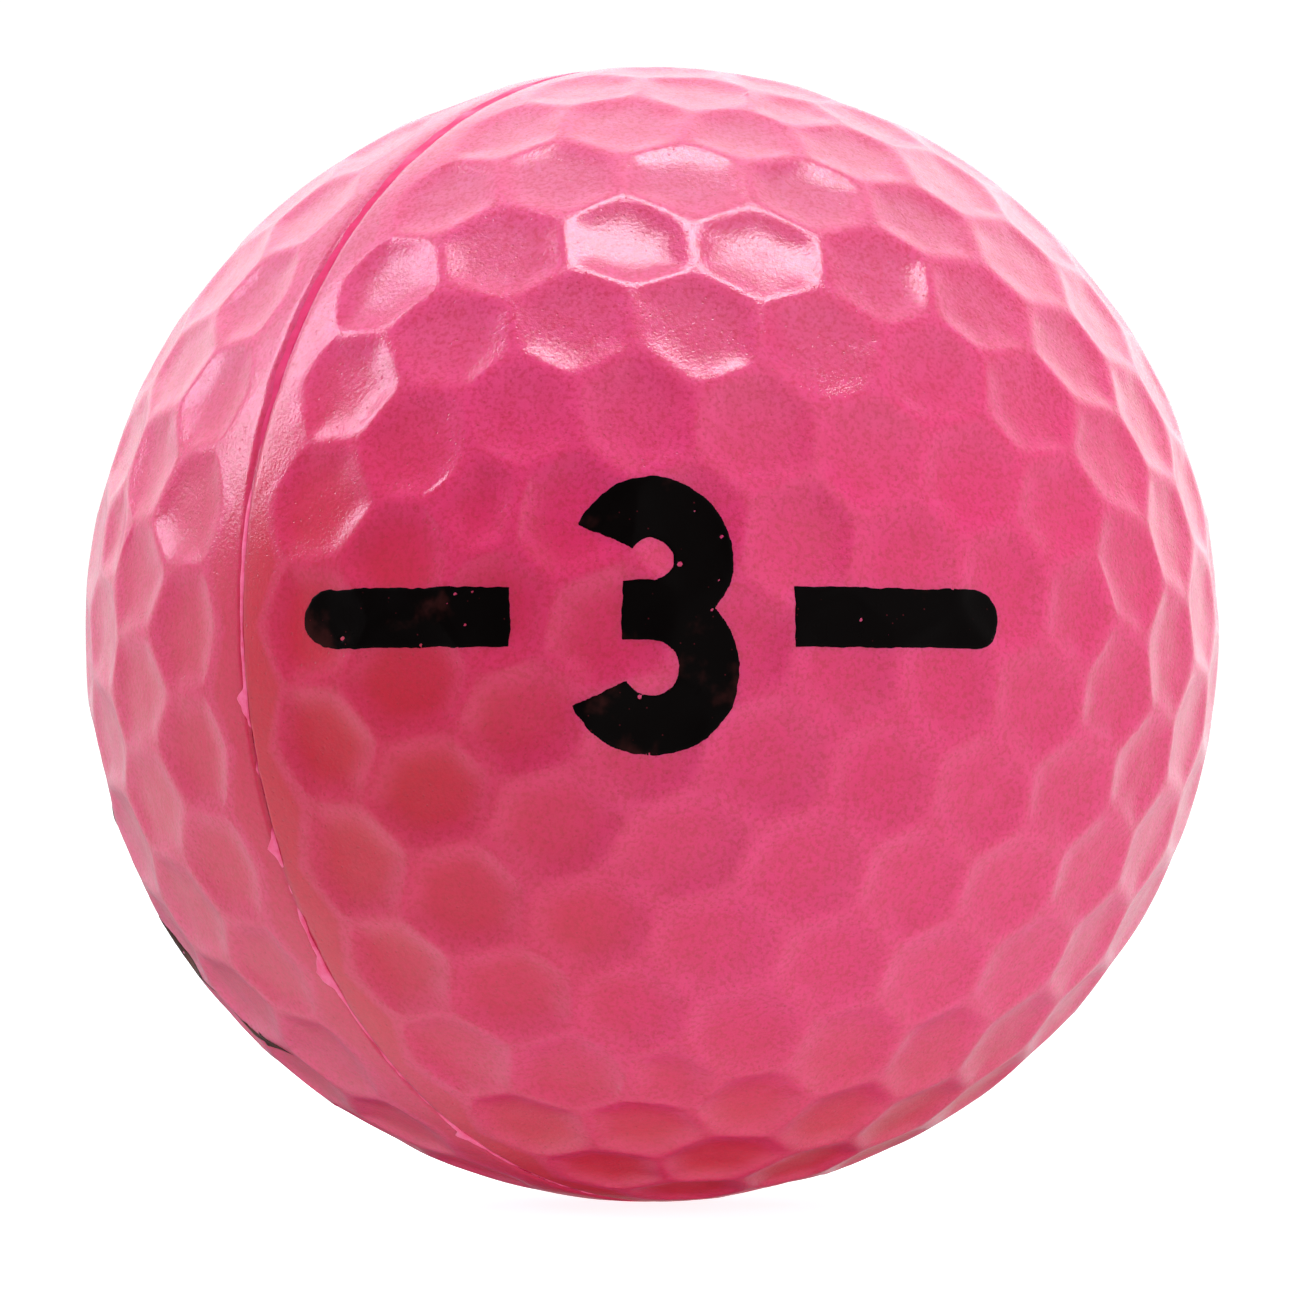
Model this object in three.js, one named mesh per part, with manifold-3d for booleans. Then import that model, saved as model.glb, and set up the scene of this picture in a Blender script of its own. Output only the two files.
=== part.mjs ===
// A soft practice golf ball: a foam core in a moulded cover of two dimpled halves, the thin fin of
// flash where the halves meet, and printed marks that follow the dimples.
// Millimetres. The ball's centre is the origin, +Z is up, and the front print faces -Y.

import * as THREE from "three";
import { mergeVertices } from "three/addons/utils/BufferGeometryUtils.js";
import Module from "manifold-3d";

const wasm = await Module();
wasm.setup();

const DEGREE = Math.PI / 180;

// Ball and cover
const BALL_RADIUS = 42.67 / 2;
const COVER_THICKNESS = 1.8;
const CORE_CLEARANCE = 0.3;
const COVER_INNER_RADIUS = BALL_RADIUS - COVER_THICKNESS;

// Parting line: the halves' flat rims stand this far from the mould's mid-plane
const FLASH_THICKNESS = 0.3;
const FLASH_CLEARANCE = 0.25;
const FLASH_PROUD = 0.08;
const RIM_HEIGHT = FLASH_THICKNESS / 2 + FLASH_CLEARANCE;

// Dimples: shallow six-sided dishes with a floor, a sloping wall and a narrow land between them
const DIMPLE_DEPTH = 0.28;
const WALL_DEPTH_SHARE = 0.8;
const LAND_INSET = 0.14;
const WALL_INSET = 0.45;

// Dimple pattern of one half: six rings of an icosahedral cap, then two seam rows of 30.
// One more row of 30, without dimples, shapes the land along the seam.
const CAP_RINGS = 6;
const CAP_SIDES = 5;
const RING_STEP = 10.72 * DEGREE;
const SEAM_ROW_COUNT = CAP_RINGS * CAP_SIDES;
const SEAM_ROW_LATITUDES = [20.2 * DEGREE, 7.8 * DEGREE];
const LAND_ROW_LATITUDE = 0.7 * DEGREE;
const NEIGHBOUR_REACH = 16 * DEGREE;

// How the mould's axis lies in the ball's frame
const MOULD_AXIS_AZIMUTH = -43.8 * DEGREE;
const MOULD_AXIS_ELEVATION = 2.3 * DEGREE;
const MOULD_SPIN = -14.9 * DEGREE;

// The figure 3: a smaller upper bowl, mouths that open to the left, and a short middle arm
const UPPER_BOWL_SHARE = 0.235;
const LOWER_BOWL_SHARE = 0.5 - UPPER_BOWL_SHARE;
const BOWL_MOUTH = 155 * DEGREE;
const ARM_LENGTH_IN_STROKES = 0.5;
const ARM_OVERLAP = 0.2;

// Printed marks: a play number between two bars or two arrows
const INK_THICKNESS = 0.1;
const INK_CLEARANCE = 0.1;
const INK_CUT_START = 15;
const INK_CUT_END = BALL_RADIUS + 1;
const FRONT_PRINT = {
  facing: new THREE.Vector3(0, -1, 0.03),
  reading: new THREE.Vector3(1, 0, 0),
  numberHeight: 10,
  stroke: 2.2,
  barLength: 7.5,
  barWidth: 2.2,
  barGap: 1.9,
  barName: "bar",
};
const SIDE_PRINT = {
  facing: new THREE.Vector3(-0.92, 0.04, -0.39),
  reading: new THREE.Vector3(0.31, -0.53, -0.79),
  numberHeight: 5.5,
  stroke: 1.2,
  barLength: 8,
  barWidth: 1.4,
  barGap: 1.3,
  barName: "arrow",
};

// Facets
const CORE_SEGMENTS = 24;
const CAVITY_SEGMENTS = 36;
const ARC_SEGMENTS = 9;

const MATERIALS = {
  cover: new THREE.MeshStandardMaterial({ color: 0xd8456f, roughness: 0.42, metalness: 0 }),
  flash: new THREE.MeshStandardMaterial({ color: 0xe0407c, roughness: 0.5, metalness: 0 }),
  foam: new THREE.MeshStandardMaterial({ color: 0xe9a3b6, roughness: 0.95, metalness: 0 }),
  ink: new THREE.MeshStandardMaterial({ color: 0x0b0809, roughness: 0.28, metalness: 0 }),
};

// Solids and meshes

function solidFrom(geometry) {
  const positions = geometry.clone();
  positions.deleteAttribute("normal");
  positions.deleteAttribute("uv");
  const merged = mergeVertices(positions, 1e-5);
  return new wasm.Manifold(
    new wasm.Mesh({
      numProp: 3,
      vertProperties: new Float32Array(merged.attributes.position.array),
      triVerts: new Uint32Array(merged.index.array),
    }),
  );
}

function geometryFrom(solid) {
  const { vertProperties, triVerts } = solid.getMesh();
  const geometry = new THREE.BufferGeometry();
  geometry.setAttribute("position", new THREE.BufferAttribute(vertProperties, 3));
  geometry.setIndex(new THREE.BufferAttribute(triVerts, 1));
  geometry.computeVertexNormals();
  return geometry;
}

function namedMesh(name, geometry, material) {
  const mesh = new THREE.Mesh(geometry, material);
  mesh.name = name;
  return mesh;
}

// Dimple pattern, in the mould's frame: +Z is the pole of the half and the seam is the equator

function direction(longitude, latitude) {
  return new THREE.Vector3(
    Math.cos(latitude) * Math.cos(longitude),
    Math.cos(latitude) * Math.sin(longitude),
    Math.sin(latitude),
  );
}

function alongGreatCircle(from, to, share) {
  const angle = from.angleTo(to);
  const start = from.clone().multiplyScalar(Math.sin((1 - share) * angle));
  return start.addScaledVector(to, Math.sin(share * angle)).normalize();
}

function capRing(ring) {
  const corners = [];
  for (let side = 0; side < CAP_SIDES; side++) {
    corners.push(direction((side * 2 * Math.PI) / CAP_SIDES, Math.PI / 2 - ring * RING_STEP));
  }
  const centres = [];
  for (let side = 0; side < CAP_SIDES; side++) {
    for (let step = 0; step < ring; step++) {
      const next = corners[(side + 1) % CAP_SIDES];
      centres.push(alongGreatCircle(corners[side], next, step / ring));
    }
  }
  return centres;
}

function seamRow(latitude, shift) {
  const centres = [];
  for (let i = 0; i < SEAM_ROW_COUNT; i++) {
    centres.push(direction(((i + shift) * 2 * Math.PI) / SEAM_ROW_COUNT, latitude));
  }
  return centres;
}

function patternRows() {
  const dimples = [new THREE.Vector3(0, 0, 1)];
  for (let ring = 1; ring <= CAP_RINGS; ring++) {
    dimples.push(...capRing(ring));
  }
  const lastRow = seamRow(SEAM_ROW_LATITUDES[1], 0);
  dimples.push(...seamRow(SEAM_ROW_LATITUDES[0], 0.5), ...lastRow);
  return { dimples, lastRow, landRow: seamRow(LAND_ROW_LATITUDE, 0.5) };
}

function meanDirection(...directions) {
  const sum = new THREE.Vector3();
  directions.forEach((d) => sum.add(d));
  return sum.normalize();
}

// The corners of the cell round one dimple, in order. Each lies between it and two neighbours.
function cellCorners(centre, everyCentre) {
  const east = new THREE.Vector3(1, 0, 0).projectOnPlane(centre).normalize();
  const north = new THREE.Vector3().crossVectors(centre, east);
  const bearing = (other) => Math.atan2(other.dot(north), other.dot(east));
  const neighbours = everyCentre
    .filter((other) => other !== centre && other.angleTo(centre) < NEIGHBOUR_REACH)
    .sort((a, b) => bearing(a) - bearing(b));
  return neighbours.map((neighbour, i) =>
    meanDirection(centre, neighbour, neighbours[(i + 1) % neighbours.length]),
  );
}

// Outer surface of one half

// Collects triangles of a surface that is star-shaped about one inner point, so each can be
// turned to face away from that point.
class StarSurface {
  constructor(inside) {
    this.inside = inside;
    this.triangles = [];
  }

  triangle(a, b, c) {
    const normal = new THREE.Triangle(a, b, c).getNormal(new THREE.Vector3());
    const facesOut = normal.dot(a.clone().sub(this.inside)) > 0;
    this.triangles.push(...(facesOut ? [a, b, c] : [a, c, b]));
  }

  band(lower, upper) {
    lower.forEach((corner, i) => {
      const next = (i + 1) % lower.length;
      this.triangle(corner, lower[next], upper[next]);
      this.triangle(corner, upper[next], upper[i]);
    });
  }

  fan(centre, ring) {
    ring.forEach((corner, i) => this.triangle(centre, corner, ring[(i + 1) % ring.length]));
  }

  geometry() {
    return new THREE.BufferGeometry().setFromPoints(this.triangles);
  }
}

function ringTowards(centre, corners, share, radius) {
  return corners.map((corner) =>
    corner.clone().lerp(centre, share).normalize().multiplyScalar(radius),
  );
}

function addDimple(surface, centre, corners, landRadius) {
  const wallRadius = landRadius - DIMPLE_DEPTH * WALL_DEPTH_SHARE;
  const edge = ringTowards(centre, corners, 0, landRadius);
  const rim = ringTowards(centre, corners, LAND_INSET, landRadius);
  const wall = ringTowards(centre, corners, WALL_INSET, wallRadius);
  surface.band(edge, rim);
  surface.band(rim, wall);
  surface.fan(centre.clone().multiplyScalar(landRadius - DIMPLE_DEPTH), wall);
}

// The land between the last row of dimples and the flat rim at the parting line
function addSeamLand(surface, lastRow, landRow, landRadius) {
  const zigzag = [];
  lastRow.forEach((centre, i) => {
    const before = landRow.at(i - 1);
    const next = lastRow[(i + 1) % lastRow.length];
    zigzag.push(meanDirection(centre, before, landRow[i]), meanDirection(centre, landRow[i], next));
  });
  const rimLatitude = Math.asin(RIM_HEIGHT / landRadius);
  const rim = zigzag.map((d) => direction(Math.atan2(d.y, d.x), rimLatitude));
  const rimPoints = rim.map((d) => d.multiplyScalar(landRadius));
  surface.band(zigzag.map((d) => d.multiplyScalar(landRadius)), rimPoints);
  surface.fan(new THREE.Vector3(0, 0, RIM_HEIGHT), rimPoints);
}

// One dimpled half of the ball as a full solid. Its surface stands outset above the cover's.
function dimpledHalf(outset) {
  const landRadius = BALL_RADIUS + outset;
  const surface = new StarSurface(new THREE.Vector3(0, 0, landRadius / 2));
  const { dimples, lastRow, landRow } = patternRows();
  const everyCentre = [...dimples, ...landRow];
  for (const centre of dimples) {
    addDimple(surface, centre, cellCorners(centre, everyCentre), landRadius);
  }
  addSeamLand(surface, lastRow, landRow, landRadius);
  return solidFrom(surface.geometry());
}

function coverHalf() {
  const cavity = new THREE.SphereGeometry(COVER_INNER_RADIUS, CAVITY_SEGMENTS, CAVITY_SEGMENTS / 2);
  return dimpledHalf(0).subtract(solidFrom(cavity));
}

// Parting line and core

function partingFlash() {
  const halfRoot = FLASH_THICKNESS / 2;
  const halfTip = FLASH_THICKNESS / 4;
  const tipRadius = BALL_RADIUS + FLASH_PROUD;
  const profile = [
    new THREE.Vector2(COVER_INNER_RADIUS, -halfRoot),
    new THREE.Vector2(BALL_RADIUS - FLASH_THICKNESS, -halfRoot),
    new THREE.Vector2(tipRadius, -halfTip),
    new THREE.Vector2(tipRadius, halfTip),
    new THREE.Vector2(BALL_RADIUS - FLASH_THICKNESS, halfRoot),
    new THREE.Vector2(COVER_INNER_RADIUS, halfRoot),
    new THREE.Vector2(COVER_INNER_RADIUS, -halfRoot),
  ];
  const ring = new THREE.LatheGeometry(profile, 2 * SEAM_ROW_COUNT);
  return ring.rotateX(Math.PI / 2);
}

function foamCore() {
  const radius = COVER_INNER_RADIUS - CORE_CLEARANCE;
  return new THREE.SphereGeometry(radius, CORE_SEGMENTS, CORE_SEGMENTS / 2);
}

// Printed marks. Outlines lie in a plane, x along the line of print and y up.

function arcStroke(centreY, radius, stroke, start, end) {
  const shape = new THREE.Shape();
  shape.absarc(0, centreY, radius + stroke / 2, start, end, false);
  shape.absarc(0, centreY, radius - stroke / 2, end, start, true);
  return shape;
}

function rectangle(left, right, bottom, top) {
  const shape = new THREE.Shape();
  shape.moveTo(left, bottom);
  shape.lineTo(right, bottom);
  shape.lineTo(right, top);
  shape.lineTo(left, top);
  return shape;
}

function numberShapes({ numberHeight, stroke }) {
  const upperRadius = (numberHeight - stroke) * UPPER_BOWL_SHARE;
  const lowerRadius = (numberHeight - stroke) * LOWER_BOWL_SHARE;
  const waist = numberHeight / 2 - stroke / 2 - 2 * upperRadius;
  const armLength = stroke * ARM_LENGTH_IN_STROKES;
  return [
    arcStroke(waist + upperRadius, upperRadius, stroke, -90 * DEGREE, BOWL_MOUTH),
    arcStroke(waist - lowerRadius, lowerRadius, stroke, -BOWL_MOUTH, 90 * DEGREE),
    rectangle(-armLength, ARM_OVERLAP, waist - stroke / 2, waist + stroke / 2),
  ];
}

function numberHalfWidth({ numberHeight, stroke }) {
  return (numberHeight - stroke) * LOWER_BOWL_SHARE + stroke / 2;
}

// Beside the number: a bar with a round outer end, or an arrow that points away from it
function barShape(print, side) {
  const inner = side * (numberHalfWidth(print) + print.barGap);
  const outer = inner + side * print.barLength;
  const half = print.barWidth / 2;
  const shape = new THREE.Shape();
  if (print.barName === "arrow") {
    const neck = outer - side * print.barWidth;
    shape.moveTo(inner, -half / 2);
    shape.lineTo(neck, -half / 2);
    shape.lineTo(neck, -half);
    shape.lineTo(outer, 0);
    shape.lineTo(neck, half);
    shape.lineTo(neck, half / 2);
    shape.lineTo(inner, half / 2);
  } else {
    const neck = outer - side * half;
    shape.moveTo(inner, -half);
    shape.lineTo(neck, -half);
    shape.absarc(neck, 0, half, -90 * DEGREE, 90 * DEGREE, side < 0);
    shape.lineTo(inner, half);
  }
  return shape;
}

// Carries a print's plane to its place on the ball, in the mould's frame
function printPlacement(print, mould) {
  const facing = print.facing.clone().normalize();
  const reading = print.reading.clone().projectOnPlane(facing).normalize();
  const up = new THREE.Vector3().crossVectors(facing, reading);
  const inBallFrame = new THREE.Matrix4().makeBasis(reading, up, facing);
  return mould.clone().invert().multiply(inBallFrame);
}

// The film of ink where the outline, pushed through the ball, meets a thin layer over the cover
function inkFilm(shapes, placement, layerTop, layerBase) {
  const depth = INK_CUT_END - INK_CUT_START;
  const options = { depth, bevelEnabled: false, curveSegments: ARC_SEGMENTS };
  const prisms = shapes.map((shape) => {
    const prism = new THREE.ExtrudeGeometry(shape, options).translate(0, 0, INK_CUT_START);
    return solidFrom(prism.applyMatrix4(placement));
  });
  const outline = prisms.reduce((joined, prism) => joined.add(prism));
  return geometryFrom(outline.intersect(layerTop).subtract(layerBase));
}

function printMeshes(prefix, print, mould, layerTop, layerBase) {
  const placement = printPlacement(print, mould);
  const film = (shapes) => inkFilm(shapes, placement, layerTop, layerBase);
  const bar = `${prefix}_${print.barName}`;
  return [
    namedMesh(`${prefix}_number`, film(numberShapes(print)), MATERIALS.ink),
    namedMesh(`${bar}_left`, film([barShape(print, -1)]), MATERIALS.ink),
    namedMesh(`${bar}_right`, film([barShape(print, 1)]), MATERIALS.ink),
  ];
}

// Assembly

// The mould's frame: +Z along its axis, and +X, before the spin, on the side nearest the front
function mouldFrame() {
  const axis = direction(MOULD_AXIS_AZIMUTH, MOULD_AXIS_ELEVATION);
  const front = new THREE.Vector3(0, -1, 0).projectOnPlane(axis).normalize();
  const side = new THREE.Vector3().crossVectors(axis, front);
  const spin = new THREE.Matrix4().makeRotationZ(MOULD_SPIN);
  return new THREE.Matrix4().makeBasis(front, side, axis).multiply(spin);
}

function practiceBall() {
  const mould = mouldFrame();
  const front = coverHalf();
  const inkTop = dimpledHalf(INK_CLEARANCE + INK_THICKNESS);
  const inkBase = dimpledHalf(INK_CLEARANCE);
  const rear = (solid) => solid.mirror([0, 0, 1]);

  const turned = new THREE.Group();
  turned.setRotationFromMatrix(mould);
  turned.add(
    namedMesh("foam_core", foamCore(), MATERIALS.foam),
    namedMesh("cover_front", geometryFrom(front), MATERIALS.cover),
    namedMesh("cover_rear", geometryFrom(rear(front)), MATERIALS.cover),
    namedMesh("parting_flash", partingFlash(), MATERIALS.flash),
    ...printMeshes("front_print", FRONT_PRINT, mould, inkTop, inkBase),
    ...printMeshes("side_print", SIDE_PRINT, mould, rear(inkTop), rear(inkBase)),
  );

  const ball = new THREE.Group();
  ball.add(turned);
  return ball;
}

export default practiceBall();
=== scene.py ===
"""A soft practice golf ball in a plain white studio.

The two dimpled halves of the skin, the flash at the parting line and the printed marks are
rebuilt here in fine mesh from the same dimple pattern as the CAD solids, which they replace.
Lengths are in millimetres until a mesh is made, when they become metres.
"""

import math

import bpy
import numpy as np
from mathutils import Matrix, Vector


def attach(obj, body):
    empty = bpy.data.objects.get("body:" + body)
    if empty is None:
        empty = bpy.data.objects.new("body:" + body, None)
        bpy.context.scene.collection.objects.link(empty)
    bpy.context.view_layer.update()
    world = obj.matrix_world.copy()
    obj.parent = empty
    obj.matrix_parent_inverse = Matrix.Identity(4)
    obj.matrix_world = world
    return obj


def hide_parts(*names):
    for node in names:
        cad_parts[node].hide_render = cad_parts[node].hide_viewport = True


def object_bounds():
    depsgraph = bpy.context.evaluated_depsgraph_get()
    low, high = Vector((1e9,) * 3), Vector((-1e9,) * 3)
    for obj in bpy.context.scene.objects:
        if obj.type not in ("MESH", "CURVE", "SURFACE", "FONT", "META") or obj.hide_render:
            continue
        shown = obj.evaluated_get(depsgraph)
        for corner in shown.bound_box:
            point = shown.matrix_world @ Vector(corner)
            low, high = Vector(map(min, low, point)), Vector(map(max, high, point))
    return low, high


MM = 0.001
DEGREE = math.pi / 180

# Mould and dimple pattern, as in the CAD
BALL_RADIUS = 42.67 / 2
CAP_RINGS = 6
CAP_SIDES = 5
RING_STEP = 10.72 * DEGREE
SEAM_ROW_COUNT = CAP_RINGS * CAP_SIDES
SEAM_ROW_LATITUDES = (20.2 * DEGREE, 7.8 * DEGREE)
LAND_ROW_LATITUDE = 0.7 * DEGREE
NEIGHBOUR_REACH = 16 * DEGREE
MOULD_AXIS_AZIMUTH = -43.8 * DEGREE
MOULD_AXIS_ELEVATION = 2.3 * DEGREE
MOULD_SPIN = -14.9 * DEGREE

# Dimples: a dish with a rounded edge
DIMPLE_DEPTH = 0.27
DISH_REACH = 1.75
DISH_POWER = 2.4
LAND_HALF_WIDTH = 0.15
EDGE_ROUNDING = 0.09
CORNER_SHARPNESS = 5.0
# Width over which the painted ridge light fades out on the land beyond the last dimples.
CREST_WIDTH = 0.9

# Unevenness of the skin: spreads, and heights of its slow to fine waves
DEPTH_SPREAD = 0.07
TILT_SPREAD = 0.012
WANDER = 0.07
SWELL_HEIGHT = 0.012
RIPPLE_HEIGHT = 0.0035
FUZZ_HEIGHT = 0.0012
GROOVE_UNEVENNESS = 0.12

# Mesh fineness
CELL_RINGS = 18
LAND_ROWS = 22
LAND_GRADING = 2.0
RIM_DROPS = (0.25, 0.9)
FLASH_STEPS = 1800
INK_SPACING = 0.085

# Flash: its cross-section, in half widths and in mm, and how far its edges and its line stray
FLASH_ACROSS = (-1.3, -1, -0.8, -0.5, -0.2, 0, 0.2, 0.4, 0.6, 0.75, 0.88, 1, 1.2)
FLASH_ROOT = 0.06
SUNK_ROOT = 0.03
SHRED_RISE = 0.03
FLASH_SAG = 0.12
RISE_JITTER = 0.012
WIDTH_JITTER = 0.18
WIDTH_WAVER = 0.1
LINE_WAVER = 0.02
THINNEST_HALF = 0.05

# Ink
INK_HEIGHT = 0.022
INK_SINK = 0.012
INK_EDGE = 0.1
INK_MARGIN = 0.3
INK_WOBBLE_COARSE = 0.018
INK_WOBBLE_FINE = 0.010
PINHOLES = 240
PINHOLE_FIELD = 14
PINHOLE_RADII = (0.02, 0.075)

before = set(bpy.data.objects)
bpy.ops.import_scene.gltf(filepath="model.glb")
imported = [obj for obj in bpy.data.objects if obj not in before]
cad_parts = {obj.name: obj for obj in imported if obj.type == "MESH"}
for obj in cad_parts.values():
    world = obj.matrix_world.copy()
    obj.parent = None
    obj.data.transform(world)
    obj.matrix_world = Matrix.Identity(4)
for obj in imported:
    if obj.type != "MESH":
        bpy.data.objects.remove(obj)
cad_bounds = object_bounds()


# Vectors and noise


def unit(v):
    return v / np.linalg.norm(v, axis=-1, keepdims=True)


def direction(longitude, latitude):
    """Unit vectors of these longitudes and latitudes, about +Z."""
    longitude, latitude = np.broadcast_arrays(longitude, latitude)
    level = np.cos(latitude)
    return np.stack(
        [level * np.cos(longitude), level * np.sin(longitude), np.sin(latitude)], -1
    )


def smoothstep(low, high, x):
    t = np.clip((x - low) / (high - low), 0, 1)
    return t * t * (3 - 2 * t)


class SmoothNoise:
    """A sum of plane waves of random direction and phase. Its spread is about 1."""

    def __init__(self, seed, wavelength, waves=24):
        random = np.random.default_rng(seed)
        lengths = wavelength * random.uniform(0.7, 1.6, waves)
        self.vectors = unit(random.normal(size=(waves, 3))) * (2 * math.pi / lengths)[:, None]
        self.phases = random.uniform(0, 2 * math.pi, waves)
        self.gain = math.sqrt(2 / waves)

    def __call__(self, points):
        return self.gain * np.cos(points @ self.vectors.T + self.phases).sum(-1)


def mould_frame():
    """Columns are the mould's axes in the ball's frame. The third is the front half's pole."""
    axis = direction(MOULD_AXIS_AZIMUTH, MOULD_AXIS_ELEVATION)
    toward_front = np.array([0.0, -1.0, 0.0])
    front = unit(toward_front - axis * (toward_front @ axis))
    side = np.cross(axis, front)
    turn, lean = math.cos(MOULD_SPIN), math.sin(MOULD_SPIN)
    spin = np.array([[turn, -lean, 0], [lean, turn, 0], [0, 0, 1]])
    return np.stack([front, side, axis], -1) @ spin


MOULD = mould_frame()


# Dimple pattern of one half. +Z is its pole and the parting plane is the equator.


def along_great_circle(start, end, share):
    angle = math.acos(float(np.clip(start @ end, -1, 1)))
    return unit(math.sin((1 - share) * angle) * start + math.sin(share * angle) * end)


def cap_ring(ring):
    turns = np.arange(CAP_SIDES) * 2 * math.pi / CAP_SIDES
    corners = direction(turns, math.pi / 2 - ring * RING_STEP)
    return [
        along_great_circle(corners[side], corners[(side + 1) % CAP_SIDES], step / ring)
        for side in range(CAP_SIDES)
        for step in range(ring)
    ]


def seam_row(latitude, shift):
    turns = (np.arange(SEAM_ROW_COUNT) + shift) * 2 * math.pi / SEAM_ROW_COUNT
    return list(direction(turns, latitude))


def cell_corners(index, centres):
    """The corners of the cell round one dimple, in order, each between it and two neighbours."""
    centre = centres[index]
    near = [
        i
        for i, other in enumerate(centres)
        if i != index and centre @ other > math.cos(NEIGHBOUR_REACH)
    ]
    east = unit(np.array([1.0, 0, 0]) - centre * centre[0])
    north = np.cross(centre, east)
    near.sort(key=lambda i: math.atan2(centres[i] @ north, centres[i] @ east))
    after = near[1:] + near[:1]
    return np.array([unit(centre + centres[i] + centres[j]) for i, j in zip(near, after)])


class Pattern:
    """Dimple centres and the walls between them, for the height of the surface anywhere."""

    def __init__(self):
        dimples = [np.array([0.0, 0.0, 1.0])]
        for ring in range(1, CAP_RINGS + 1):
            dimples += cap_ring(ring)
        dimples += seam_row(SEAM_ROW_LATITUDES[0], 0.5)
        self.last_row_start = len(dimples)
        dimples += seam_row(SEAM_ROW_LATITUDES[1], 0)
        self.count = len(dimples)
        self.centres = np.array(dimples + seam_row(LAND_ROW_LATITUDE, 0.5))
        self.corners = [cell_corners(i, self.centres) for i in range(self.count)]
        self.land_centres = self.count + np.arange(SEAM_ROW_COUNT)

    def edge_distance(self, points):
        """Distance from each point to the edge of the dimple it is in, and which dimple that
        is. The smooth minimum over a cell's sides rounds its corners. On the land it is 0."""
        nearest = np.argmax(points @ self.centres.T, -1)
        distance = np.zeros(len(points))
        for cell in np.unique(nearest):
            if cell >= self.count:
                continue
            inside = nearest == cell
            corners = self.corners[cell]
            walls = unit(np.cross(corners, np.roll(corners, -1, 0)))
            gaps = BALL_RADIUS * np.arcsin(np.clip(points[inside] @ walls.T, -1, 1))
            weights = np.exp(-CORNER_SHARPNESS * gaps)
            distance[inside] = -np.log(weights.sum(-1)) / CORNER_SHARPNESS
        return distance, nearest


PATTERN = Pattern()


class Skin:
    """The outer surface of one half. side is +1 for the front half and -1 for the rear one."""

    def __init__(self, side):
        self.side = side
        random = np.random.default_rng(20 + side)
        self.depths = DIMPLE_DEPTH * random.normal(1, DEPTH_SPREAD, len(PATTERN.centres))
        self.tilts = random.normal(0, TILT_SPREAD, (len(PATTERN.centres), 3))
        self.wander = [SmoothNoise(100 * axis + side + 7, 5.5) for axis in range(3)]
        self.swell = SmoothNoise(31 + side, 14)
        self.ripple = SmoothNoise(57 + side, 1.9)
        self.fuzz = SmoothNoise(83 + side, 0.8)

    def relief(self, points):
        """How far down a dimple's side each direction is, 0 on a ridge to 1 on the floor, and
        which dimple it is in."""
        shift = np.stack([noise(points * BALL_RADIUS) for noise in self.wander], -1)
        distance, cell = PATTERN.edge_distance(unit(points + shift * WANDER / BALL_RADIUS))
        soft = EDGE_ROUNDING * np.logaddexp(0, (distance - LAND_HALF_WIDTH) / EDGE_ROUNDING)
        share = np.clip(soft / DISH_REACH, 0, 1)
        return share, cell

    def radius(self, points):
        """Radius of the surface at these unit directions, in the half's own frame."""
        share, cell = self.relief(points)
        relief = 1 - (1 - share) ** DISH_POWER
        offset = points - PATTERN.centres[cell]
        lean = (offset * self.tilts[cell]).sum(-1) * BALL_RADIUS * relief
        bumps = SWELL_HEIGHT * self.swell(points * BALL_RADIUS)
        bumps += RIPPLE_HEIGHT * self.ripple(points * BALL_RADIUS)
        bumps += FUZZ_HEIGHT * self.fuzz(points * BALL_RADIUS)
        return BALL_RADIUS - self.depths[cell] * relief + lean + bumps - self.groove(points)

    def groove(self, points):
        """Depth of the groove along the parting line."""
        longitude = np.arctan2(points[:, 1], points[:, 0])
        away = BALL_RADIUS * np.arcsin(np.clip(points[:, 2], -1, 1))
        depth, width = groove_depth(longitude), groove_width(longitude)
        uneven = 1 + GROOVE_UNEVENNESS * self.ripple(points * BALL_RADIUS)
        return depth * uneven * np.exp(-((away / width) ** 2))

    def in_half(self, directions):
        """Directions in the ball's frame, as directions in this half's frame."""
        return (directions @ MOULD) * np.array([1, 1, self.side])

    def in_ball(self, points):
        """Points in this half's frame, as points in the ball's frame."""
        return (points * np.array([1, 1, self.side])) @ MOULD.T


# Parting line. The stops are degrees of longitude round the seam and a length in mm there: a
# groove from -75 to 0, a raised line to 21, then dashes, shreds and plain stretches.


def along_seam(*stops):
    """A value that goes in a straight line from each (degrees, value) to the next, all round."""
    degrees = np.array([d for d, _ in stops], float)
    values = np.array([v for _, v in stops], float)

    def value(longitude):
        return np.interp(np.degrees(longitude) % 360, degrees % 360, values, period=360)

    return value


groove_depth = along_seam(
    (-75, 0.06), (-58, 0.12), (-42, 0.12), (-36, 0.18), (-20, 0.2), (-12, 0.17), (-4, 0.1),
    (1.5, 0.04), (16, 0.04), (21, 0.04), (22, 0.12), (25, 0.12), (26, 0.04), (27, 0.12),
    (31, 0.12), (33, 0.05), (36, 0.02), (41, 0.03), (54, 0.04), (56, 0.08), (62, 0.08),
    (68, 0.04), (90, 0.06), (118, 0.18), (150, 0.16), (165, 0.05), (200, 0.06), (215, 0.18),
    (250, 0.2), (270, 0.06),
)  # fmt: skip
groove_width = along_seam(
    (-75, 0.45), (-58, 0.45), (-42, 0.4), (-35, 0.28), (-12, 0.25), (-9, 0.18), (-1, 0.15),
    (2, 0.15), (22, 0.1), (31, 0.1), (36, 0.15), (54, 0.15), (56, 0.1), (62, 0.1), (90, 0.22),
    (118, 0.26), (165, 0.2), (215, 0.25), (270, 0.3),
)  # fmt: skip
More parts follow.
